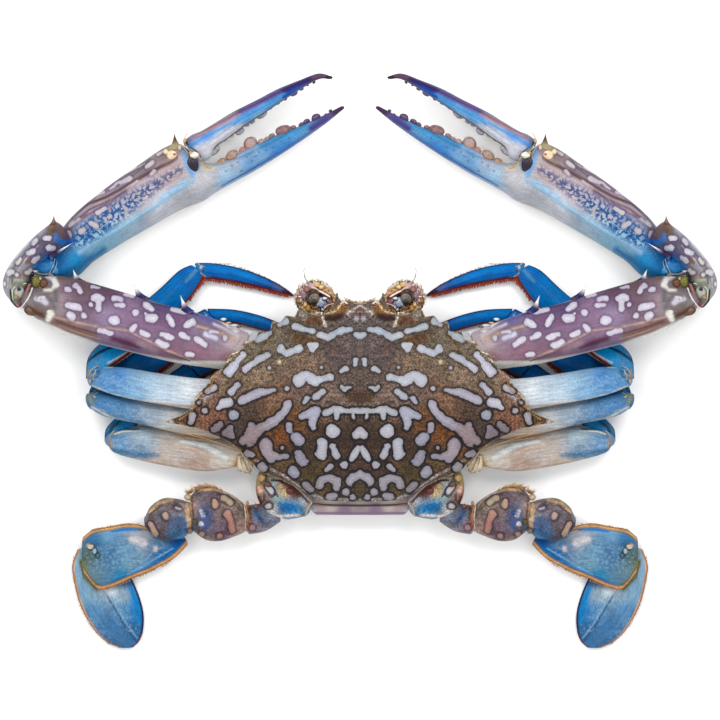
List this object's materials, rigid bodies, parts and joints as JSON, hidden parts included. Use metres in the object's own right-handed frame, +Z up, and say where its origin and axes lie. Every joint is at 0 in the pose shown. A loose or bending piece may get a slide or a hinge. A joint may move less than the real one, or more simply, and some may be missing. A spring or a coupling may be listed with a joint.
{
  "type": "blue swimming crab",
  "caption": "Life-size still model of a male blue swimming crab resting on its belly, claws held forward, legs folded, swimming paddles spread behind.",
  "frame": {"origin": "on the floor under the middle of the whole outline, on the plane of symmetry", "axes": "+X towards the crab's right claw, +Y forwards past the head, +Z up"},
  "size_m": [0.2856, 0.2302, 0.041],
  "materials": {
    "shell": "finely grained shell, brown to olive with lilac-white blotches outlined dark",
    "claw": "smooth shell, mauve with white spots, blue and purple on the fingers",
    "leg": "smooth shell, bright blue fading to white towards the body",
    "paddle": "thin smooth shell, steel blue with a dark blue edge and an orange fringe",
    "belly": "smooth white to bluish shell",
    "mouth": "hairy mouthparts and feelers, yellow-brown to pink",
    "eye": "dark grey-brown faceted eye"
  },
  "bodies": {
    "root": {"abdomen": "belly", "antenna_l": "mouth", "antenna_r": "mouth", "antennule_l": "mouth", "antennule_r": "mouth", "carapace": "shell", "claw_base_l": "belly", "claw_base_r": "belly", "claw_carpus_l": "claw", "claw_carpus_r": "claw", "claw_finger_l": "claw", "claw_finger_r": "claw", "claw_merus_l": "claw", "claw_merus_r": "claw", "claw_palm_l": "claw", "claw_palm_r": "claw", "eye_l": "eye", "eye_r": "eye", "eyestalk_l": "shell", "eyestalk_r": "shell", "leg2_carpus_l": "leg", "leg2_carpus_r": "leg", "leg2_dactylus_l": "leg", "leg2_dactylus_r": "leg", "leg2_merus_l": "leg", "leg2_merus_r": "leg", "leg2_propodus_l": "leg", "leg2_propodus_r": "leg", "leg3_carpus_l": "leg", "leg3_carpus_r": "leg", "leg3_dactylus_l": "leg", "leg3_dactylus_r": "leg", "leg3_merus_l": "leg", "leg3_merus_r": "leg", "leg3_propodus_l": "leg", "leg3_propodus_r": "leg", "leg4_carpus_l": "leg", "leg4_carpus_r": "leg", "leg4_dactylus_l": "leg", "leg4_dactylus_r": "leg", "leg4_merus_l": "leg", "leg4_merus_r": "leg", "leg4_propodus_l": "leg", "leg4_propodus_r": "leg", "maxilliped_l": "mouth", "maxilliped_r": "mouth", "sternum": "belly", "swim_base_l": "paddle", "swim_base_r": "paddle", "swim_carpus_l": "paddle", "swim_carpus_r": "paddle", "swim_ischium_l": "paddle", "swim_ischium_r": "paddle", "swim_merus_l": "paddle", "swim_merus_r": "paddle", "swim_paddle_l": "paddle", "swim_paddle_r": "paddle", "swim_propodus_l": "paddle", "swim_propodus_r": "paddle"}
  },
  "joints": []
}
